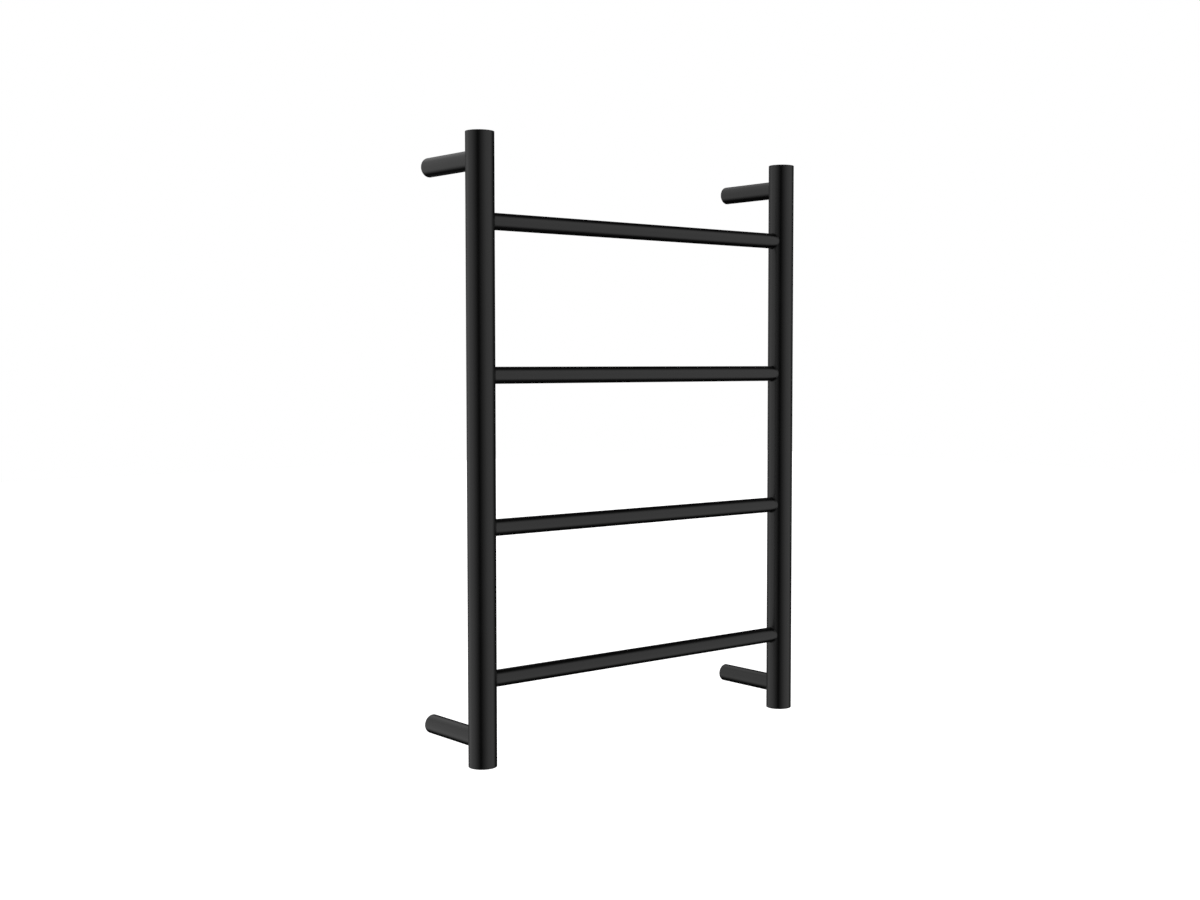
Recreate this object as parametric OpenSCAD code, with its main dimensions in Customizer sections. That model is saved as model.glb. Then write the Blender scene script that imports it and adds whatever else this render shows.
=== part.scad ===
// Wall-mounted electric towel warmer: a ladder of two upright posts and level towel bars, all round tube.
// Four short standoff tubes carry it. Each slides over a turned bracket on the wall and has a set screw.
// A heating cable runs to and fro through the bars and posts. Its supply lead comes in through one standoff.
// Millimetres. +Z is up, +X runs along the bars, +Y points into the wall, and the wall's face is at Y = 0.
// The origin is the centre of the four wall fixings.

/* [Ladder] */
// Overall width, across both posts
overall_w = 500; // [360:5:800]
// Overall height of the posts with their end caps
overall_h = 700; // [560:5:1400]
// Distance from the wall to the axes of the posts and bars
reach = 101; // [70:1:140]
// Number of towel bars, even so that the heating cable ends in the post it starts from
bar_count = 4; // [2:2:6]
// Distance from the end of a post to the axis of the nearest towel bar
end_to_bar = 96.5; // [75:0.5:140]
// Distance from the end of a post to the axis of the nearest standoff
end_to_standoff = 30; // [25:1:40]

/* [Tubes] */
// Outside diameter of the posts
post_d = 32; // [26:1:45]
// Wall thickness of the posts
post_wall = 1.5; // [1:0.1:2.5]
// Outside diameter of the towel bars
bar_d = 19; // [15:1:25]
// Wall thickness of the towel bars
bar_wall = 1.2; // [0.8:0.1:2]
// Outside diameter of the standoffs
standoff_d = 22; // [21:0.5:26.5]
// Wall thickness of the standoffs
standoff_wall = 1.5; // [1:0.1:1.8]

/* [End caps] */
// Thickness of the disc that closes a post
cap_t = 1.5; // [1:0.1:4]
// Chamfer around the disc's edge
cap_chamfer = 0.4; // [0.2:0.1:0.8]
// Length of the spigot inside the post
cap_spigot_l = 8; // [6:0.5:12]
// Gap between the spigot and the post's bore
cap_gap = 0.1; // [0.05:0.05:0.3]

/* [Wall brackets] */
// Length of a bracket from the wall to its tip
bracket_l = 18; // [14:0.5:30]
// Radial gap between a bracket and the standoff that slides over it
slide_gap = 0.05; // [0.01:0.01:0.1]
// Lead-in chamfer at the tip
bracket_chamfer = 0.6; // [0.3:0.1:0.8]
// Least wall between the bracket's rim and either of its two holes
bracket_rim = 0.85; // [0.6:0.05:1.2]
// Hole for the wall screw's shank
fixing_hole_d = 4.5; // [4:0.1:5]
// Bore for the wall screw's countersunk head
fixing_head_d = 8; // [7:0.1:8.4]
// Metal between the wall and the rim of the screw's head
fixing_base_t = 6; // [4:0.5:10]

/* [Supply lead] */
// Diameter of the supply lead
lead_d = 6; // [5:0.1:6.4]
// Radial gap between the lead and its bush
lead_gap = 0.2; // [0.1:0.05:0.4]
// Wall of the bush
bush_wall = 0.65; // [0.5:0.05:0.8]
// Radial gap between the bush and its bracket
bush_gap = 0.05; // [0.02:0.01:0.1]
// Thickness of the lip that stops the bush on the bracket's tip
bush_lip_t = 1; // [0.6:0.1:2]
// Overhang of that lip
bush_lip = 0.4; // [0.2:0.1:0.5]
// Hole in the back of the post, behind the standoff that carries the lead
lead_hole_d = 12; // [8:0.5:15]

/* [Set screws] */
// Thread diameter
set_screw_d = 5; // [4:0.5:6]
// Length
set_screw_l = 4; // [3:0.2:5]
// Socket size across its flats
set_screw_socket = 2.5; // [2:0.5:3]
// Depth of the socket
set_screw_socket_depth = 2; // [1.5:0.1:2.5]
// Distance from the wall to the set screw's axis
set_screw_from_wall = 9; // [6:0.5:10]
// How far the set screw's end lies below the standoff's surface
set_screw_recess = 0.5; // [0.3:0.1:1]
// Radial gap in the set screws' threads, and the gap left at their tips
set_screw_gap = 0.05; // [0.02:0.01:0.1]

/* [Heating cable] */
// Diameter of the heating cable
cable_d = 4; // [3:0.1:5]
// Bend radius at the cable's axis
cable_bend_r = 10; // [8:0.5:11]
// Least gap between the cable and a tube's bore
cable_gap = 0.1; // [0.1:0.05:0.5]
// Gap between the post's bore and the upright runs' bends and cut-out
run_gap = 0.5; // [0.3:0.1:1]
// Length of the splice sleeves where the cable's two ends meet the supply lead
sleeve_l = 34; // [24:1:34]
// Diameter of the splice sleeves
sleeve_d = 6; // [5.4:0.1:7]
// Length of the thermal cut-out on the returning run
cutout_l = 24; // [16:1:30]
// Diameter of the thermal cut-out
cutout_d = 9; // [7:0.1:9.5]

/* [Earthing] */
// Thread diameter of the earth screw
earth_screw_d = 4; // [3:0.5:5]
// Length of the earth screw under its head
earth_screw_l = 5.5; // [4:0.5:5.5]
// Diameter of the earth screw's head
earth_head_d = 7; // [6:0.5:8]
// Height of the earth screw's head
earth_head_t = 2.4; // [1.5:0.1:2.6]
// Radial gap around the earth screw's thread
earth_screw_gap = 0.05; // [0.02:0.01:0.1]
// Thickness of the earth tag
earth_tag_t = 0.8; // [0.5:0.1:1]
// Diameter of the tag's ring
earth_ring_d = 9; // [8.5:0.5:11]
// Height of the tag's upturned blade
earth_blade_h = 8; // [6:0.5:12]
// Width of the blade
earth_blade_w = 4.8; // [2.8:0.1:6.3]

/* [Hidden] */
$fn = 96;
hex_sides = 6;
cut = 1; // how far a cutting shape runs past the surface that it cuts
coat_colour = [0.055, 0.055, 0.058]; // posts, bars, standoffs and end caps are coated alike

post_r = post_d / 2;
post_bore_r = post_r - post_wall;
bar_r = bar_d / 2;
bar_bore_r = bar_r - bar_wall;
standoff_r = standoff_d / 2;
standoff_bore_r = standoff_r - standoff_wall;

post_x = overall_w / 2 - post_r;
post_l = overall_h - 2 * cap_t;
standoff_z = overall_h / 2 - end_to_standoff;
top_bar_z = overall_h / 2 - end_to_bar;
bar_pitch = 2 * top_bar_z / (bar_count - 1);

bracket_r = standoff_bore_r - slide_gap;
fixing_offset = bracket_r - bracket_rim - fixing_head_d / 2;
set_screw_end_r = standoff_r - set_screw_recess;
set_screw_tip_r = set_screw_end_r - set_screw_l;
bracket_flat_r = set_screw_tip_r - set_screw_gap;
set_screw_chamfer = 0.5;
set_screw_socket_r = set_screw_socket / 2 / cos(180 / hex_sides); // out to the hexagon's corners

bush_bore_r = lead_d / 2 + lead_gap;
bush_r = bush_bore_r + bush_wall;
bush_hole_r = bush_r + bush_gap;
bush_offset = bracket_r - bracket_rim - bush_hole_r;

cable_r = cable_d / 2;
cable_sag = bar_bore_r - cable_r - cable_gap; // the cable lies on the bottom of each bar's bore
inner_run_x = post_x - (post_bore_r - cable_bend_r - run_gap);
outer_run_x = post_x + (post_bore_r - cutout_d / 2 - run_gap);
sleeve_drop = 2; // from the lowest bend to the splice sleeves
sleeve_top_z = cable_z(bar_count) - cable_bend_r - sleeve_drop;
cable_end_z = sleeve_top_z - sleeve_l / 2;
cutout_z = (bar_z(bar_count - 1) + bar_z(bar_count)) / 2;
cap_top_z = -overall_h / 2 + cap_t + cap_spigot_l; // the upper face of a lower end cap's spigot

// Each corner has its name, its side (-1 left, 1 right) and its end (-1 bottom, 1 top)
corners = [["top_left", -1, 1], ["top_right", 1, 1], ["bottom_left", -1, -1], ["bottom_right", 1, -1]];
corner_parts = ["standoff_", "end_cap_", "wall_bracket_", "set_screw_"];
lead_side = 1; // the supply lead and the earth are at the bottom right
lead_end = -1;

// Bars are counted from the top
function bar_z(i) = top_bar_z - (i - 1) * bar_pitch;
function cable_z(i) = bar_z(i) - cable_sag;
function is_lead_corner(side, end) = side == lead_side && end == lead_end;

module along_x() { rotate([0, 90, 0]) children(); }
module along_y() { rotate([-90, 0, 0]) children(); }
module at_standoff(side, end) { translate([side * post_x, 0, end * standoff_z]) children(); }

// The full round of one post, which the tubes that meet it are cut to
module post_envelope(side) {
    translate([side * post_x, -reach, 0]) cylinder(r = post_r, h = overall_h, center = true);
}

// An upright, with a hole into each bar's bore and, behind the lead's standoff, one for the lead
module post(side) {
    color(coat_colour)
    difference() {
        translate([side * post_x, -reach, 0]) cylinder(r = post_r, h = post_l, center = true);
        translate([side * post_x, -reach, 0]) cylinder(r = post_bore_r, h = overall_h, center = true);
        for (i = [1 : bar_count])
            translate([side < 0 ? -post_x : post_x - post_d, -reach, bar_z(i)])
                along_x() cylinder(r = bar_bore_r, h = post_d);
        if (side == lead_side)
            translate([side * post_x, -reach, lead_end * standoff_z])
                along_y() cylinder(d = lead_hole_d, h = post_d);
    }
}

// A level tube, its ends cut to the posts' round
module towel_bar(i) {
    color(coat_colour)
    difference() {
        translate([0, -reach, bar_z(i)]) along_x() cylinder(r = bar_r, h = 2 * post_x, center = true);
        translate([0, -reach, bar_z(i)]) along_x() cylinder(r = bar_bore_r, h = overall_w, center = true);
        post_envelope(-1);
        post_envelope(1);
    }
}

// A short tube from the back of a post to the wall, with a tapped hole underneath for its set screw
module standoff(side, end) {
    color(coat_colour)
    difference() {
        at_standoff(side, end) translate([0, -reach, 0]) along_y() cylinder(r = standoff_r, h = reach);
        at_standoff(side, end) translate([0, -reach, 0])
            along_y() cylinder(r = standoff_bore_r, h = reach + cut);
        at_standoff(side, end) translate([0, -set_screw_from_wall, -standoff_r - cut])
            cylinder(d = set_screw_d + 2 * set_screw_gap, h = standoff_r + cut);
        post_envelope(side);
    }
}

// A flat disc with a spigot, which closes one end of a post. The one at the lead's corner is tapped for the
// earth screw.
module end_cap(side, end) {
    color(coat_colour)
    translate([side * post_x, -reach, end * overall_h / 2])
    mirror([0, 0, end > 0 ? 1 : 0])
    difference() {
        union() {
            cylinder(r1 = post_r - cap_chamfer, r2 = post_r, h = cap_chamfer);
            translate([0, 0, cap_chamfer]) cylinder(r = post_r, h = cap_t - cap_chamfer);
            translate([0, 0, cap_t]) cylinder(r = post_bore_r - cap_gap, h = cap_spigot_l);
        }
        if (is_lead_corner(side, end))
            translate([0, 0, cap_t + cap_spigot_l - earth_screw_l])
                cylinder(d = earth_screw_d + 2 * earth_screw_gap, h = earth_screw_l + cut);
    }
}

// A turned barrel screwed to the wall, with its wall screw on the outer side and its lead hole on the inner
// side. Its two flats let the same part serve at either side, turned by half a turn.
module wall_bracket(side, end) {
    color([0.72, 0.73, 0.74])
    at_standoff(side, end)
    difference() {
        translate([0, -bracket_l, 0]) along_y() union() {
            cylinder(r1 = bracket_r - bracket_chamfer, r2 = bracket_r, h = bracket_chamfer);
            translate([0, 0, bracket_chamfer]) cylinder(r = bracket_r, h = bracket_l - bracket_chamfer);
        }
        for (flat = [-1, 1])
            translate([0, -bracket_l / 2, flat * (bracket_flat_r + bracket_r / 2)])
                cube([2 * bracket_r, bracket_l + 2 * cut, bracket_r], center = true);
        translate([side * fixing_offset, -bracket_l - cut, 0]) fixing_bore();
        translate([-side * bush_offset, -bracket_l - cut, 0])
            along_y() cylinder(r = bush_hole_r, h = bracket_l + 2 * cut);
    }
}

// The stepped hole for one countersunk wall screw, from its open end
module fixing_bore() {
    head_depth = bracket_l + cut - fixing_base_t;
    cone_h = (fixing_head_d - fixing_hole_d) / 2;
    along_y() cylinder(d = fixing_head_d, h = head_depth);
    translate([0, head_depth, 0]) along_y() cylinder(d1 = fixing_head_d, d2 = fixing_hole_d, h = cone_h);
    translate([0, head_depth, 0]) along_y() cylinder(d = fixing_hole_d, h = fixing_base_t + cut);
}

// A set screw with a socket at its lower end and a chamfered tip that bears on the bracket's flat
module set_screw(side, end) {
    color([0.16, 0.16, 0.17])
    at_standoff(side, end)
    translate([0, -set_screw_from_wall, -set_screw_end_r])
    difference() {
        union() {
            cylinder(d = set_screw_d, h = set_screw_l - set_screw_chamfer);
            translate([0, 0, set_screw_l - set_screw_chamfer])
                cylinder(d1 = set_screw_d, d2 = set_screw_d - 2 * set_screw_chamfer, h = set_screw_chamfer);
        }
        translate([0, 0, -cut])
            cylinder(r = set_screw_socket_r, h = set_screw_socket_depth + cut, $fn = hex_sides);
    }
}

// A lipped bush that lines the lead hole of one bracket
module lead_bush() {
    color([0.12, 0.12, 0.12])
    at_standoff(lead_side, lead_end)
    translate([-lead_side * bush_offset, 0, 0])
    difference() {
        union() {
            translate([0, -bracket_l, 0]) along_y() cylinder(r = bush_r, h = bracket_l);
            translate([0, -bracket_l - bush_lip_t, 0])
                along_y() cylinder(r = bush_r + bush_lip, h = bush_lip_t);
        }
        translate([0, -bracket_l - bush_lip_t - cut, 0])
            along_y() cylinder(r = bush_bore_r, h = bracket_l + bush_lip_t + 2 * cut);
    }
}

module cable_upright(x, from_z, to_z) {
    translate([x, -reach, from_z]) cylinder(r = cable_r, h = to_z - from_z);
}

// A quarter turn between the upright run at x and bar i. The bar leads off to the side given by inward,
// and the run lies above the bar (1) or below it (-1).
module cable_turn(x, i, inward, run_side) {
    translate([x + inward * cable_bend_r, -reach, cable_z(i) + run_side * cable_bend_r])
    mirror([inward > 0 ? 1 : 0, 0, 0])
    mirror([0, 0, run_side > 0 ? 1 : 0])
    rotate([90, 0, 0])
    rotate_extrude(angle = 90) translate([cable_bend_r, 0]) circle(r = cable_r);
}

// One silicone heating cable, from its splice up through every bar in turn and back down the outer run
module heating_cable() {
    color([0.55, 0.12, 0.08])
    union() {
        for (i = [1 : bar_count]) {
            right_x = i == 1 ? outer_run_x : inner_run_x;
            translate([-post_x + cable_bend_r, -reach, cable_z(i)])
                along_x() cylinder(r = cable_r, h = right_x + post_x - 2 * cable_bend_r);
            cable_turn(-post_x, i, 1, i % 2 == 0 ? 1 : -1);
            cable_turn(right_x, i, -1, i % 2 == 0 || i == 1 ? -1 : 1);
        }
        for (i = [1 : bar_count - 1]) {
            x = i % 2 == 0 ? inner_run_x : -post_x;
            cable_upright(x, cable_z(i + 1) + cable_bend_r, cable_z(i) - cable_bend_r);
        }
        cable_upright(inner_run_x, cable_end_z, cable_z(bar_count) - cable_bend_r);
        cable_upright(outer_run_x, cable_end_z, cable_z(1) - cable_bend_r);
    }
}

// A tube around the cable, which it grips with the cable's gap to spare
module cable_tube(x, low_z, l, d) {
    translate([x, -reach, low_z])
    difference() {
        cylinder(d = d, h = l);
        translate([0, 0, -cut]) cylinder(r = cable_r + cable_gap, h = l + 2 * cut);
    }
}

// A shrunk sleeve: the cable's end is in its upper half, and the lead's core goes into its lower half
module splice_sleeve(x) {
    color([0.85, 0.83, 0.78]) cable_tube(x, sleeve_top_z - sleeve_l, sleeve_l, sleeve_d);
}

// The over-temperature cut-out on the returning run
module thermal_cutout() {
    color([0.9, 0.9, 0.88]) cable_tube(outer_run_x, cutout_z - cutout_l / 2, cutout_l, cutout_d);
}

// A ring under the earth screw's head, with an upturned blade for the earth lead
module earth_tag() {
    color([0.8, 0.68, 0.35])
    translate([lead_side * post_x, -reach, cap_top_z])
    difference() {
        union() {
            cylinder(d = earth_ring_d, h = earth_tag_t);
            translate([-earth_blade_w / 2, 0, 0])
                cube([earth_blade_w, earth_ring_d / 2 + earth_tag_t, earth_tag_t]);
            translate([-earth_blade_w / 2, earth_ring_d / 2, 0])
                cube([earth_blade_w, earth_tag_t, earth_blade_h]);
        }
        translate([0, 0, -cut]) cylinder(d = earth_screw_d + 2 * earth_screw_gap, h = earth_tag_t + 2 * cut);
    }
}

// The pan-head screw that clamps the tag to the end cap
module earth_screw() {
    color([0.7, 0.7, 0.7])
    translate([lead_side * post_x, -reach, cap_top_z])
    union() {
        translate([0, 0, -earth_screw_l])
            cylinder(d = earth_screw_d, h = earth_screw_l + earth_tag_t + earth_head_t);
        translate([0, 0, earth_tag_t]) cylinder(d = earth_head_d, h = earth_head_t);
    }
}

post(-1);  // left_post
post(1);  // right_post
for (i = [1 : bar_count])
    towel_bar(i);
for (corner = corners) {
    standoff(corner[1], corner[2]);
    end_cap(corner[1], corner[2]);
    wall_bracket(corner[1], corner[2]);
    set_screw(corner[1], corner[2]);
}
lead_bush();
heating_cable();
splice_sleeve(inner_run_x);  // splice_sleeve_line
splice_sleeve(outer_run_x);  // splice_sleeve_neutral
thermal_cutout();
earth_tag();
earth_screw();
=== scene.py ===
import math

import bmesh
import bpy
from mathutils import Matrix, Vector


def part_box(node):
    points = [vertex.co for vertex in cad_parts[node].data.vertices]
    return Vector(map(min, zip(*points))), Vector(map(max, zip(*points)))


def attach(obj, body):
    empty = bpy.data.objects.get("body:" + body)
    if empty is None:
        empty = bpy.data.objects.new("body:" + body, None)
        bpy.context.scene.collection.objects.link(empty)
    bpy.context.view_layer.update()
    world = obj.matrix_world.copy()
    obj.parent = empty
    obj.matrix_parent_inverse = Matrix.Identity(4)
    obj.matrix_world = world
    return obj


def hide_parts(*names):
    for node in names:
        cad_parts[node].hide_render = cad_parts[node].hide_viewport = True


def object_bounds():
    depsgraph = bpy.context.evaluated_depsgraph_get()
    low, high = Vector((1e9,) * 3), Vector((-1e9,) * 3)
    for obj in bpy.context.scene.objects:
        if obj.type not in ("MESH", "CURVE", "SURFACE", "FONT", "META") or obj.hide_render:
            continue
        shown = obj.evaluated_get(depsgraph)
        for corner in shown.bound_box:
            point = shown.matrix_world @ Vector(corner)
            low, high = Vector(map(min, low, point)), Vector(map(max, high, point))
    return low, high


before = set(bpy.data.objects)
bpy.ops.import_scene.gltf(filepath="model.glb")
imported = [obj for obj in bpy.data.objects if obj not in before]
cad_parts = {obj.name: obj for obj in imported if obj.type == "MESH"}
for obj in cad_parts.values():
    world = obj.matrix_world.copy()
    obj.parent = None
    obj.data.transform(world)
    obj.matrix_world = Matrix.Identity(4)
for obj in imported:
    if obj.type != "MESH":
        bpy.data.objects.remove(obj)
cad_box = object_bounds()


# ---------------------------------------------------------------- Camera
# It stands well to the left of the rack, at about its middle height, and looks across it. The lens is of
# middling length, so that the near post stands a little taller than the far one.
camera_place = (-1.2152, -1.5168, 0.0991)
camera_turn = 40.185    # degrees, to the right of square to the wall
camera_dip = 3.079      # degrees, below level

camera = bpy.data.objects.new("camera", bpy.data.cameras.new("camera"))
camera.data.lens = 46.82
camera.data.shift_x = -0.0252
camera.data.shift_y = -0.0033
camera.location = camera_place
camera.rotation_euler = (math.radians(90 - camera_dip), 0, math.radians(-camera_turn))
bpy.context.scene.collection.objects.link(camera)
bpy.context.scene.camera = camera


# ---------------------------------------------------------------- Wall brackets
# Four aluminium barrels, turned from bar, with two milled flats and two drilled holes. A countersunk screw
# holds each one to the wall, and the lathe has left fine rings on its ends and round its sides.
MM = 0.001
CORNERS = ("top_left", "top_right", "bottom_left", "bottom_right")


class Number:
    """A number in a node tree. Arithmetic on it adds the nodes that work it out."""

    def __init__(self, tree, socket):
        self.tree = tree
        self.socket = socket

    def math(self, operation, *others):
        node = self.tree.nodes.new("ShaderNodeMath")
        node.operation = operation
        for socket, value in zip(node.inputs, (self, *others)):
            plug(value, socket)
        return Number(self.tree, node.outputs[0])

    def __add__(self, other):
        return self.math("ADD", other)

    def __sub__(self, other):
        return self.math("SUBTRACT", other)

    def __rsub__(self, other):
        return self * -1 + other

    def __mul__(self, other):
        return self.math("MULTIPLY", other)

    def __truediv__(self, other):
        return self.math("DIVIDE", other)

    __rmul__ = __mul__


def plug(value, socket):
    """Gives a socket a plain value, or links it to a Number or to another node's output."""
    if isinstance(value, Number):
        value = value.socket
    if isinstance(value, bpy.types.NodeSocket):
        socket.id_data.links.new(value, socket)
    else:
        socket.default_value = value


def add_node(tree, kind, inputs, **settings):
    """Adds a node with its settings, and its inputs by name or number."""
    node = tree.nodes.new(kind)
    for name, value in settings.items():
        setattr(node, name, value)
    for key, value in inputs.items():
        plug(value, node.inputs[key])
    return node


def new_group(name, kind, inputs, outputs):
    """A node group with named sockets. Returns the tree, its inputs and what goes to its outputs."""
    tree = bpy.data.node_groups.new(name, kind)
    for socket_name, socket_type in inputs.items():
        tree.interface.new_socket(socket_name, in_out="INPUT", socket_type=socket_type)
    for socket_name, socket_type in outputs.items():
        tree.interface.new_socket(socket_name, in_out="OUTPUT", socket_type=socket_type)
    return tree, tree.nodes.new("NodeGroupInput").outputs, tree.nodes.new("NodeGroupOutput").inputs


# Grain: a fine bumpiness for a surface, and broad soft patches for its colour and its gloss.
grain, grain_in, grain_out = new_group(
    "grain", "ShaderNodeTree",
    {"Vector": "NodeSocketVector", "Fine Size": "NodeSocketFloat", "Broad Size": "NodeSocketFloat"},
    {"Height": "NodeSocketFloat", "Patches": "NodeSocketFloat"})
for size_name, output_name, detail in (("Fine Size", "Height", 2.0), ("Broad Size", "Patches", 4.0)):
    scale = Number(grain, grain_in[size_name]).math("POWER", -1)
    noise = add_node(grain, "ShaderNodeTexNoise",
                     {"Vector": grain_in["Vector"], "Scale": scale, "Detail": detail})
    plug(noise.outputs[0], grain_out[output_name])


def new_material(name, dark, light, gloss, dull, fine, broad, depth, metallic=0.0):
    """Two colours and two roughnesses, in broad patches, under a fine grain of the given depth."""
    material = bpy.data.materials.new(name)
    material.use_nodes = True
    tree = material.node_tree
    shader = tree.nodes["Principled BSDF"]
    shader.inputs["Metallic"].default_value = metallic
    place = tree.nodes.new("ShaderNodeTexCoord").outputs["Object"]
    marks = add_node(tree, "ShaderNodeGroup", {}, node_tree=grain)
    for socket_name, value in (("Vector", place), ("Fine Size", fine), ("Broad Size", broad)):
        plug(value, marks.inputs[socket_name])
    patches = marks.outputs["Patches"]
    low, high = 0.3, 0.7    # nearly all of the noise lies between these
    colour = add_node(tree, "ShaderNodeValToRGB", {"Fac": patches})
    for stop, stop_colour, at in zip(colour.color_ramp.elements, (dark, light), (low, high)):
        stop.color = (*stop_colour, 1)
        stop.position = at
    plug(colour.outputs["Color"], shader.inputs["Base Color"])
    spread = {"Value": patches, "From Min": low, "From Max": high, "To Min": gloss, "To Max": dull}
    roughness = add_node(tree, "ShaderNodeMapRange", spread)
    plug(roughness.outputs["Result"], shader.inputs["Roughness"])
    add_bump(material, marks.outputs["Height"], depth)
    return material


def add_bump(material, height, depth):
    """Lays a bump over the ones that the material already has."""
    tree = material.node_tree
    normal = tree.nodes["Principled BSDF"].inputs["Normal"]
    under = [link.from_socket for link in normal.links]
    bump = add_node(tree, "ShaderNodeBump", {"Height": height, "Distance": depth})
    for socket in under:
        plug(socket, bump.inputs["Normal"])
    plug(bump.outputs["Normal"], normal)


def finish_node(name, material):
    """Gives a CAD node its finish."""
    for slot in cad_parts[name].material_slots:
        slot.material = material


standoff_low, standoff_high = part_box("standoff_top_right")
post_low, post_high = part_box("right_post")
post_x = (post_low.x + post_high.x) / 2
post_y = (post_low.y + post_high.y) / 2
standoff_z = (standoff_low.z + standoff_high.z) / 2

turned_aluminium = new_material(
    "turned_aluminium", (0.50, 0.51, 0.52), (0.62, 0.63, 0.64), 0.24, 0.36,
    fine=0.5 * MM, broad=6 * MM, depth=0.004 * MM, metallic=1.0)
ring_pitch = 0.25 * MM
ring_depth = 0.02 * MM
tree = turned_aluminium.node_tree
place = add_node(tree, "ShaderNodeSeparateXYZ", {0: tree.nodes.new("ShaderNodeTexCoord").outputs["Object"]})
x, y, z = (Number(tree, place.outputs[axis]) for axis in "XYZ")
off_axis_x = x.math("ABSOLUTE") - post_x
off_axis_z = z.math("ABSOLUTE") - standoff_z
from_axis = (off_axis_x * off_axis_x + off_axis_z * off_axis_z).math("SQRT")
rings = add_node(tree, "ShaderNodeTexNoise", {"W": from_axis + y, "Scale": 1 / ring_pitch, "Detail": 1.0},
                 noise_dimensions="1D")
add_bump(turned_aluminium, rings.outputs[0], ring_depth)
for corner in CORNERS:
    finish_node("wall_bracket_" + corner, turned_aluminium)


# ---------------------------------------------------------------- Lead bush
# A lipped bush of black rubber, pushed into the lower right bracket's lead hole from inside the standoff. It
# keeps the supply lead off the metal's edge.
black_rubber = new_material(
    "black_rubber", (0.016, 0.016, 0.016), (0.03, 0.03, 0.03), 0.55, 0.75,
    fine=0.25 * MM, broad=3 * MM, depth=0.02 * MM)
finish_node("lead_bush", black_rubber)


# ---------------------------------------------------------------- Posts
# Two uprights of round steel tube. Every bar's bore opens into them, and the right one has one more hole, at
# the back, for the supply lead. All that is welded together is powder coated at once, in satin black.
satin_black_coat = new_material(
    "satin_black_coat", (0.0030, 0.0030, 0.0031), (0.0045, 0.0045, 0.0046), 0.24, 0.28,
    fine=0.35 * MM, broad=45 * MM, depth=0.006 * MM)
peel_size = 1.3 * MM    # the coat's orange peel
peel_depth = 0.035 * MM
tree = satin_black_coat.node_tree
peel = add_node(tree, "ShaderNodeTexNoise",
                {"Vector": tree.nodes.new("ShaderNodeTexCoord").outputs["Object"],
                 "Scale": 1 / peel_size, "Detail": 1.0})
add_bump(satin_black_coat, peel.outputs[0], peel_depth)


WELDED = 0.0001 * MM    # points this close are one point
SHARP = 30              # degrees between two faces whose edge isn't shaded smooth


def pick(index, values):
    """The value whose place in the list is the index."""
    node = index.tree.nodes.new("GeometryNodeIndexSwitch")
    node.data_type = "FLOAT"
    while len(node.index_switch_items) < len(values):
        node.index_switch_items.new()
    plug(index, node.inputs["Index"])
    for socket, value in zip(list(node.inputs)[1:], values):
        plug(value, socket)
    return Number(index.tree, node.outputs[0])


def wrapped_tree(name, sizes, ring_count, segments, point):
    """A Geometry Nodes tree for a closed skin that wraps round its own X axis, repeated along a straight row.

    point(size, turn, ring) gives the x, y and z of a point of the skin, from the named sizes, its turn round
    the axis and the number of its ring. After the last ring comes the first one again.
    """
    inputs = {size: "NodeSocketFloat" for size in sizes}
    inputs.update({"First": "NodeSocketVector", "Step": "NodeSocketVector", "Turn": "NodeSocketVector",
                   "Count": "NodeSocketInt", "Finish": "NodeSocketMaterial"})
    tree, given, result = new_group(name, "GeometryNodeTree", inputs, {"Geometry": "NodeSocketGeometry"})
    grid = add_node(tree, "GeometryNodeMeshGrid", {"Vertices X": segments + 1, "Vertices Y": ring_count + 1})
    index = Number(tree, tree.nodes.new("GeometryNodeInputIndex").outputs[0])
    turn = (index / (ring_count + 1)).math("FLOOR") * (2 * math.pi / segments)
    ring = index.math("MODULO", ring_count + 1).math("MODULO", ring_count)
    x, y, z = point({size: Number(tree, given[size]) for size in sizes}, turn, ring)
    position = add_node(tree, "ShaderNodeCombineXYZ", {"X": x, "Y": y, "Z": z})
    skin = add_node(tree, "GeometryNodeSetPosition",
                    {"Geometry": grid.outputs["Mesh"], "Position": position.outputs[0]})
    closed = add_node(tree, "GeometryNodeMergeByDistance", {"Geometry": skin.outputs[0], "Distance": WELDED})
    row = add_node(tree, "GeometryNodeMeshLine",
                   {"Count": given["Count"], "Start Location": given["First"], "Offset": given["Step"]})
    copies = add_node(tree, "GeometryNodeInstanceOnPoints",
                      {"Points": row.outputs[0], "Instance": closed.outputs[0], "Rotation": given["Turn"]})
    real = add_node(tree, "GeometryNodeRealizeInstances", {0: copies.outputs[0]})
    finished = add_node(tree, "GeometryNodeSetMaterial",
                        {"Geometry": real.outputs[0], "Material": given["Finish"]})
    plug(finished.outputs[0], result["Geometry"])
    return tree


def settle(piece, sharp_degrees):
    """Makes what a piece's modifiers give its own plain mesh, with faces outwards and true edges sharp."""
    depsgraph = bpy.context.evaluated_depsgraph_get()
    mesh = bpy.data.meshes.new_from_object(piece.evaluated_get(depsgraph), depsgraph=depsgraph)
    piece.modifiers.clear()
    piece.data = mesh
    mesh.name = piece.name
    work = bmesh.new()
    work.from_mesh(mesh)
    bmesh.ops.remove_doubles(work, verts=work.verts, dist=WELDED)
    stray = [edge for edge in work.edges if not edge.link_faces]
    bmesh.ops.delete(work, geom=stray, context="EDGES")
    bmesh.ops.recalc_face_normals(work, faces=work.faces)
    work.to_mesh(mesh)
    work.free()
    mesh.shade_smooth()
    mesh.set_sharp_from_angle(angle=math.radians(sharp_degrees))


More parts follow.
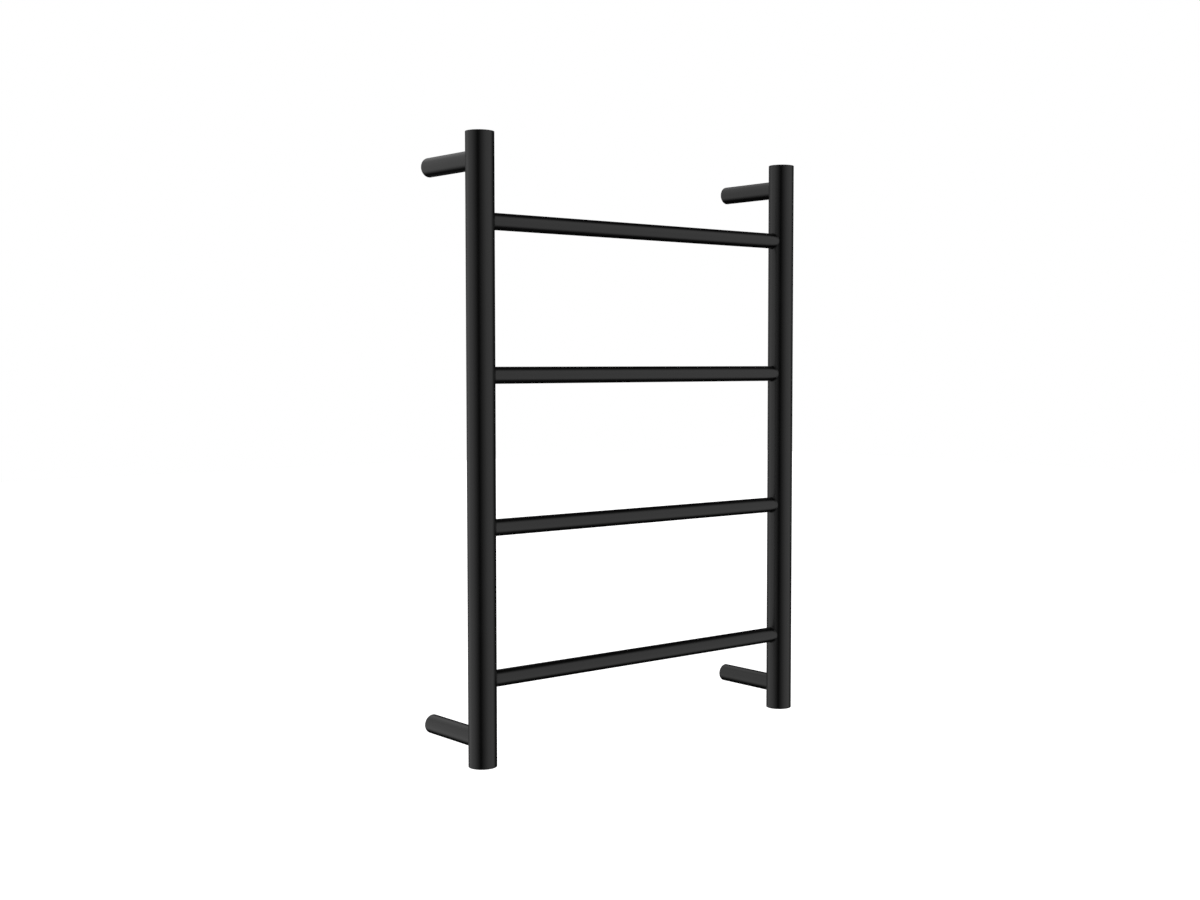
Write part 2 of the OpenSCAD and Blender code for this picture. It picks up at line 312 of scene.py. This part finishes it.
def grow(name, tree, values, finish, sharp_degrees=SHARP):
    """Runs a wrapped tree with its values, and keeps what it makes as a plain mesh."""
    piece = bpy.data.objects.new(name, bpy.data.meshes.new(name))
    bpy.context.scene.collection.objects.link(piece)
    modifier = piece.modifiers.new("shape", "NODES")
    modifier.node_group = tree
    values = {"Step": (0, 0, 0), "Count": 1, "Finish": finish, **values}
    for socket in tree.interface.items_tree:
        if socket.in_out == "INPUT":
            modifier[socket.identifier] = values[socket.name]
    settle(piece, sharp_degrees)
    return piece


def tube_point(size, turn, ring):
    """A round tube. An end is square, or cut to lie against a post whose axis it starts or stops at."""
    rim, radius, length = size["Rim"], size["Radius"], size["Length"]
    bore = radius - size["Wall"]
    along = pick(ring, [0, rim, length - rim, length, length, length - rim, rim, 0])
    out = pick(ring, [radius - rim, radius, radius, radius - rim, bore + rim, bore, bore, bore + rim])
    y = out * turn.math("COSINE")
    z = out * turn.math("SINE")
    from_start, from_end = (
        (size[cut] * size[cut] - y * y).math("MAXIMUM", 0).math("SQRT") for cut in ("Start Cut", "End Cut"))
    return along.math("MAXIMUM", from_start).math("MINIMUM", length - from_end), y, z


def plug_point(size, turn, ring):
    """A plain plug, which leaves a hole of its radius."""
    out = pick(ring, [0, size["Radius"], size["Radius"], 0])
    along = pick(ring, [0, 0, size["Length"], size["Length"]])
    return along, out * turn.math("COSINE"), out * turn.math("SINE")


ALONG_X = (0, 0, 0)     # the turns that lay a tree's own X axis along the rack's axes
AGAINST_X = (0, 0, math.pi)
ALONG_Y = (0, 0, math.pi / 2)
ALONG_Z = (0, -math.pi / 2, 0)
AGAINST_Z = (0, math.pi / 2, 0)
tube_segments = 128
hole_segments = 64
tube_sizes = ("Radius", "Wall", "Length", "Rim", "Start Cut", "End Cut")
round_tube = wrapped_tree("round_tube", tube_sizes, 8, tube_segments, tube_point)
hole_plug = wrapped_tree("hole_plug", ("Radius", "Length"), 4, hole_segments, plug_point)


def drill(piece, start, turn, radius, length, step=(0, 0, 0), count=1):
    """Cuts a round hole, or a row of them, into a piece."""
    values = {"First": start, "Turn": turn, "Radius": radius, "Length": length, "Step": step, "Count": count}
    cutter = grow("cutter", hole_plug, values, None)
    hole = piece.modifiers.new("hole", "BOOLEAN")
    hole.object = cutter
    hole.solver = "EXACT"
    settle(piece, SHARP)
    bpy.data.objects.remove(cutter)


def fit(piece, body, slot, *nodes):
    """Puts a piece under what it moves with and hides the nodes that it stands for. The slot is not used."""
    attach(piece, body)
    if nodes:
        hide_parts(*nodes)


bar_boxes = [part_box(f"towel_bar_{number}") for number in (1, 2, 3, 4)]
top_bar_z = (bar_boxes[0][0].z + bar_boxes[0][1].z) / 2
bar_pitch = bar_boxes[0][0].z - bar_boxes[1][0].z
bar_radius = (bar_boxes[0][1].z - bar_boxes[0][0].z) / 2
bar_wall = 1.2 * MM
post_radius = (post_high.x - post_low.x) / 2
post_wall = 1.5 * MM
lead_hole_radius = 6 * MM
seam = 0.05 * MM    # the chamfers that leave a hairline between a cap and its post

for side, name in ((-1, "left_post"), (1, "right_post")):
    axis_x = side * post_x
    post = grow(name + "_tube", round_tube,
                {"First": (axis_x, post_y, post_low.z), "Turn": ALONG_Z, "Radius": post_radius,
                 "Wall": post_wall, "Length": post_high.z - post_low.z, "Rim": seam,
                 "Start Cut": 0, "End Cut": 0},
                satin_black_coat)
    drill(post, (axis_x, post_y, top_bar_z), AGAINST_X if side > 0 else ALONG_X,
          bar_radius - bar_wall, 2 * post_radius, (0, 0, -bar_pitch), len(bar_boxes))
    if side > 0:
        drill(post, (axis_x, post_y, -standoff_z), ALONG_Y, lead_hole_radius, 2 * post_radius)
    fit(post, "rack", "black_powder_coat", name)


# ---------------------------------------------------------------- Towel bars
# Four level tubes, thinner than the posts. Their ends are cut to the round of the posts and welded there.
for number, (low, high) in enumerate(bar_boxes, 1):
    bar = grow(f"towel_bar_{number}_tube", round_tube,
               {"First": (-post_x, post_y, (low.z + high.z) / 2), "Turn": ALONG_X, "Radius": bar_radius,
                "Wall": bar_wall, "Length": 2 * post_x, "Rim": 0,
                "Start Cut": post_radius, "End Cut": post_radius},
               satin_black_coat)
    fit(bar, "rack", "black_powder_coat", f"towel_bar_{number}")


# ---------------------------------------------------------------- Standoffs
# Four short tubes between the posts and the wall, cut and welded like the bars. Each one has a tapped hole
# underneath, near the wall, for its set screw.
standoff_radius = (standoff_high.z - standoff_low.z) / 2
standoff_wall = 1.5 * MM
standoff_rim = 0.2 * MM
screw_gap = 0.05 * MM

for corner in CORNERS:
    low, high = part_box("standoff_" + corner)
    axis_x, axis_z = (low.x + high.x) / 2, (low.z + high.z) / 2
    standoff = grow(f"standoff_{corner}_tube", round_tube,
                    {"First": (axis_x, post_y, axis_z), "Turn": ALONG_Y, "Radius": standoff_radius,
                     "Wall": standoff_wall, "Length": high.y - post_y, "Rim": standoff_rim,
                     "Start Cut": post_radius, "End Cut": 0},
                    satin_black_coat)
    screw_low, screw_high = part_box("set_screw_" + corner)
    screw_y = (screw_low.y + screw_high.y) / 2
    drill(standoff, (axis_x, screw_y, axis_z - 2 * standoff_radius), ALONG_Z,
          (screw_high.x - screw_low.x) / 2 + screw_gap, 2 * standoff_radius)
    fit(standoff, "rack", "black_powder_coat", "standoff_" + corner)


# ---------------------------------------------------------------- Welds
# A small fillet of weld runs round the foot of every bar and standoff. The coat has softened its ripples.
weld_radius = 1.5 * MM
weld_sunk = 0.3 * MM
weld_steps = 8          # rings across the hollow
weld_segments = 240
weld_sharp = 60         # degrees, as for SHARP
weld_ripple = 0.032     # how high the ripples are, as a share of the weld's radius
bar_ripples = 26        # how many go round
standoff_ripples = 30


def weld_point(size, turn, ring):
    """The hollow fillet that a ball leaves, rolled round the foot of a tube that stands on a post.

    Its first rings cross the hollow from the tube to the post. Its last three are sunk in the metal behind.
    """
    post, tube, ball, sunk = size["Post Radius"], size["Tube Radius"], size["Weld Radius"], size["Sunk"]
    cosine, sine = turn.math("COSINE"), turn.math("SINE")
    ball_y, ball_z = (tube + ball) * cosine, (tube + ball) * sine
    ball_x = ((post + ball) * (post + ball) - ball_y * ball_y).math("SQRT")
    spread = (cosine * ball_y / (post + ball)).math("ARCCOSINE")
    share = ring / weld_steps
    uneven = turn * size["Ripples"] + (turn * 3).math("SINE") * 1.5 + (turn * 7).math("SINE") * 0.7
    ripple = uneven.math("SINE") * (share * math.pi).math("SINE") * size["Ripple"]
    reach = ball * (1 - ripple) / spread.math("SINE")
    tube_reach = reach * ((1 - share) * spread).math("SINE")
    post_reach = reach * (share * spread).math("SINE") / (post + ball)
    flush = (post - sunk) / (post + ball)
    root_y, root_z = (tube - sunk) * cosine, (tube - sunk) * sine
    root_x = ((post - sunk) * (post - sunk) - root_y * root_y).math("SQRT")
    part = (ring - weld_steps).math("MAXIMUM", 0)
    return (pick(part, [ball_x - post_reach * ball_x, flush * ball_x, root_x, ball_x]),
            pick(part, [ball_y - post_reach * ball_y - tube_reach * cosine, flush * ball_y, root_y, root_y]),
            pick(part, [ball_z - tube_reach * sine, ball_z, root_z, root_z]))


weld_sizes = {"Post Radius": post_radius, "Weld Radius": weld_radius,
              "Sunk": weld_sunk, "Ripple": weld_ripple}
weld = wrapped_tree("weld", (*weld_sizes, "Tube Radius", "Ripples"),
                    weld_steps + 4, weld_segments, weld_point)
for side, side_name, turn in ((-1, "left", ALONG_X), (1, "right", AGAINST_X)):
    axis_x = side * post_x
    bar_welds = grow("bar_welds_" + side_name, weld,
                     {"First": (axis_x, post_y, top_bar_z), "Step": (0, 0, -bar_pitch),
                      "Count": len(bar_boxes), "Turn": turn, "Tube Radius": bar_radius,
                      "Ripples": bar_ripples, **weld_sizes},
                     satin_black_coat, weld_sharp)
    fit(bar_welds, "rack", "black_powder_coat")
    standoff_welds = grow("standoff_welds_" + side_name, weld,
                          {"First": (axis_x, post_y, -standoff_z), "Step": (0, 0, 2 * standoff_z), "Count": 2,
                           "Turn": ALONG_Y, "Tube Radius": standoff_radius,
                           "Ripples": standoff_ripples, **weld_sizes},
                          satin_black_coat, weld_sharp)
    fit(standoff_welds, "rack", "black_powder_coat")


# ---------------------------------------------------------------- End caps
# A turned steel disc with a spigot closes each end of each post. It is dressed flush before it is coated, so
# that only its rounded rim and a hairline show.
cap_rim = 0.4 * MM
cap_rim_steps = 5
cap_gap = 0.1 * MM
cap_disc = cad_box[1][2] - post_high.z
cap_low, cap_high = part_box("end_cap_top_right")
earth_hole_radius = 2.05 * MM
earth_hole_depth = 5.5 * MM


def cap_point(size, turn, ring):
    """A disc with a rounded rim, and its spigot. X points into the post."""
    radius, spigot, rim = size["Radius"], size["Spigot Radius"], size["Rim"]
    disc, depth, hair = size["Disc"], size["Depth"], size["Seam"]
    round_turn = (ring - 2).math("MAXIMUM", 0).math("MINIMUM", cap_rim_steps) * (math.pi / 2 / cap_rim_steps)
    part = ring.math("MINIMUM", 2) + (ring - (cap_rim_steps + 2)).math("MAXIMUM", 0)
    round_x = rim * (1 - round_turn.math("COSINE"))
    round_out = radius - rim * (1 - round_turn.math("SINE"))
    along = pick(part, [0, 0, round_x, disc - hair, disc, disc, depth - rim, depth, depth])
    out = pick(part, [0, radius - 2 * rim, round_out, radius, radius - hair, spigot, spigot, spigot - rim, 0])
    return along, out * turn.math("COSINE"), out * turn.math("SINE")


cap_sizes = {"Radius": post_radius, "Spigot Radius": post_radius - post_wall - cap_gap, "Rim": cap_rim,
             "Disc": cap_disc, "Depth": cap_high.z - cap_low.z, "Seam": seam}
end_cap = wrapped_tree("end_cap", tuple(cap_sizes), cap_rim_steps + 9, tube_segments, cap_point)
for corner in CORNERS:
    low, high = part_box("end_cap_" + corner)
    axis_x = (low.x + high.x) / 2
    outer_z, turn = (high.z, AGAINST_Z) if corner.startswith("top") else (low.z, ALONG_Z)
    cap = grow(f"end_cap_{corner}_disc", end_cap,
               {"First": (axis_x, post_y, outer_z), "Turn": turn, **cap_sizes}, satin_black_coat)
    if corner == "bottom_right":
        drill(cap, (axis_x, post_y, high.z - earth_hole_depth), ALONG_Z, earth_hole_radius, high.z - low.z)
    fit(cap, "rack", "black_powder_coat", "end_cap_" + corner)


# ---------------------------------------------------------------- Earth tag and screw
# A stamped brass tag, clamped to the lower right cap inside the post by a zinc-plated screw. The supply
# lead's earth core pushes on to its blade.
bright_brass = new_material(
    "bright_brass", (0.60, 0.43, 0.15), (0.72, 0.55, 0.24), 0.22, 0.40,
    fine=0.3 * MM, broad=3 * MM, depth=0.004 * MM, metallic=1.0)
zinc_plate = new_material(
    "zinc_plate", (0.50, 0.52, 0.54), (0.66, 0.67, 0.68), 0.25, 0.42,
    fine=0.2 * MM, broad=2 * MM, depth=0.004 * MM, metallic=1.0)
finish_node("earth_tag", bright_brass)
finish_node("earth_screw", zinc_plate)


# ---------------------------------------------------------------- Heating cable
# A silicone-covered heating cable, threaded through all the bars. Its two ends are spliced to the supply lead
# under shrunk sleeves, and a cut-out on its way back stops it if the rack grows too hot.
red_silicone = new_material(
    "red_silicone", (0.28, 0.032, 0.020), (0.38, 0.050, 0.030), 0.45, 0.62,
    fine=0.3 * MM, broad=12 * MM, depth=0.015 * MM)
shrunk_sleeve = new_material(
    "shrunk_sleeve", (0.58, 0.56, 0.48), (0.70, 0.68, 0.60), 0.35, 0.52,
    fine=0.8 * MM, broad=6 * MM, depth=0.05 * MM)
white_nylon = new_material(
    "white_nylon", (0.70, 0.70, 0.67), (0.78, 0.78, 0.75), 0.30, 0.45,
    fine=0.4 * MM, broad=8 * MM, depth=0.01 * MM)
finish_node("heating_cable", red_silicone)
finish_node("splice_sleeve_line", shrunk_sleeve)
finish_node("splice_sleeve_neutral", shrunk_sleeve)
finish_node("thermal_cutout", white_nylon)


# ---------------------------------------------------------------- Set screws
# Four short blackened screws with a hexagon socket and a cup point. Each is driven up through the underside
# of a standoff, on to the flat of the bracket inside it.
black_oxide = new_material(
    "black_oxide", (0.020, 0.020, 0.022), (0.040, 0.039, 0.041), 0.28, 0.45,
    fine=0.15 * MM, broad=1.5 * MM, depth=0.004 * MM, metallic=0.7)
thread_rings = 36
thread_segments = 48
thread_sharp = 40          # degrees, as for SHARP
lead_in = 0.45 * MM
cup_radius = 1.25 * MM
cup_depth = 0.4 * MM
socket_depth = 2 * MM
socket_point = 0.3 * MM    # how much deeper the drilled middle of the socket is
sixth = math.pi / 3


def screw_point(size, turn, ring):
    """A set screw from its cup, down its thread and up into its socket. X points towards the cup."""
    radius, length, depth = size["Radius"], size["Length"], size["Thread Depth"]
    share = (ring - 3).math("MAXIMUM", 0).math("MINIMUM", thread_rings - 1) / (thread_rings - 1)
    height = length - lead_in - (length - 2 * lead_in) * share
    wave = (height / size["Thread Pitch"] - turn / (2 * math.pi)).math("FRACT")
    thread = radius - (wave - 0.5).math("ABSOLUTE") * 2 * depth
    hexagon = size["Socket"] / 2 / (turn.math("MODULO", sixth) - sixth / 2).math("COSINE")
    part = ring.math("MINIMUM", 3) + (ring - (thread_rings + 2)).math("MAXIMUM", 0)
    core = radius - depth
    deepest = socket_depth + socket_point
    along = pick(part, [length - cup_depth, length, length, height, 0, 0, socket_depth, deepest])
    out = pick(part, [0, cup_radius, core, thread, core, hexagon, hexagon, 0])
    return along, out * turn.math("COSINE"), out * turn.math("SINE")


screw_sizes = {"Thread Depth": 0.42 * MM, "Thread Pitch": 0.8 * MM, "Socket": 2.5 * MM}
set_screw = wrapped_tree("set_screw", (*screw_sizes, "Radius", "Length"),
                         thread_rings + 7, thread_segments, screw_point)
for corner in CORNERS:
    low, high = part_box("set_screw_" + corner)
    screw = grow(f"set_screw_{corner}_threaded", set_screw,
                 {"First": ((low.x + high.x) / 2, (low.y + high.y) / 2, low.z), "Turn": ALONG_Z,
                  "Radius": (high.x - low.x) / 2, "Length": high.z - low.z, **screw_sizes},
                 black_oxide, thread_sharp)
    fit(screw, "screw_" + corner, "blackened_screw_steel", "set_screw_" + corner)


# ---------------------------------------------------------------- Light and floor
# Two broad soft lights, one in front to the right and one behind to the left, a strip high behind and a faint
# glow above and below. They belong to the sky, which the eye itself sees as plain white. The floor is white
# too, and can't be seen from below, so that the rack's underside can.
scene = bpy.context.scene
scene.view_settings.view_transform = "Standard"
sky = bpy.data.worlds.new("sky")
scene.world = sky
sky.use_nodes = True
tree = sky.node_tree
towards = add_node(tree, "ShaderNodeSeparateXYZ",
                   {0: tree.nodes.new("ShaderNodeTexCoord").outputs["Generated"]})
x, y, z = (Number(tree, towards.outputs[axis]) for axis in "XYZ")
leftward = (x * -1).math("ARCTAN2", y * -1) * (180 / math.pi)    # degrees round from straight in front
upward = z.math("ARCSINE") * (180 / math.pi)
aside = leftward.math("ABSOLUTE")


def rise(value, start, end, shape="SMOOTHSTEP"):
    """Goes from 0 to 1 as the value goes from start to end."""
    node = add_node(tree, "ShaderNodeMapRange", {"Value": value, "From Min": start, "From Max": end},
                    interpolation_type=shape)
    return Number(tree, node.outputs["Result"])


front_light = rise(leftward, 45, -15, "LINEAR") * rise(leftward, -92, -50) * rise(upward, -56, -36) * 0.82
back_light = rise(leftward, 53, 106, "LINEAR") * rise(leftward, 180, 152) * rise(upward, -50, -22) * 0.84
back_fill = rise(aside, 143, 160) * rise(upward, -30, -5) * 0.22
high_strip = rise(aside, 130, 165) * rise(upward, 14, 30) * rise(upward, 60, 45) * 0.7
ceiling = rise(upward, 60, 75) * 0.3
floor_glow = rise(upward, -56, -78) * 0.35
round_rack = front_light.math("MAXIMUM", back_light).math("MAXIMUM", back_fill) * rise(upward, 62, 40)
brightness = round_rack.math("MAXIMUM", high_strip).math("MAXIMUM", ceiling) + floor_glow + 0.01
seen = tree.nodes.new("ShaderNodeLightPath").outputs["Is Camera Ray"]
backdrop = add_node(tree, "ShaderNodeMix", {0: seen, 2: brightness, 3: 1.0})
plug(backdrop.outputs[0], tree.nodes["Background"].inputs["Strength"])
tree.nodes["Background"].inputs["Color"].default_value = (1, 1, 1, 1)

floor_drop = 0.12
floor_half = 6.0
floor_z = cad_box[0][2] - floor_drop
floor_corners = [(x * floor_half, y * floor_half, floor_z) for x, y in ((-1, -1), (1, -1), (1, 1), (-1, 1))]
floor_mesh = bpy.data.meshes.new("floor")
floor_mesh.from_pydata(floor_corners, [], [(0, 1, 2, 3)])
pale_floor = new_material(
    "pale_floor", (0.86, 0.86, 0.86), (0.9, 0.9, 0.9), 0.7, 0.8, fine=2 * MM, broad=300 * MM, depth=0.1 * MM)
tree = pale_floor.node_tree
shader = tree.nodes["Principled BSDF"]
shader.inputs["Emission Color"].default_value = (1, 1, 1, 1)
shader.inputs["Emission Strength"].default_value = 1.0
one_sided = add_node(tree, "ShaderNodeMixShader",    # clear from below
                     {0: tree.nodes.new("ShaderNodeNewGeometry").outputs["Backfacing"],
                      1: shader.outputs["BSDF"],
                      2: tree.nodes.new("ShaderNodeBsdfTransparent").outputs["BSDF"]})
plug(one_sided.outputs[0], tree.nodes["Material Output"].inputs["Surface"])
floor_mesh.materials.append(pale_floor)
floor = bpy.data.objects.new("floor", floor_mesh)
floor.visible_diffuse = False
floor.visible_glossy = False
scene.collection.objects.link(floor)
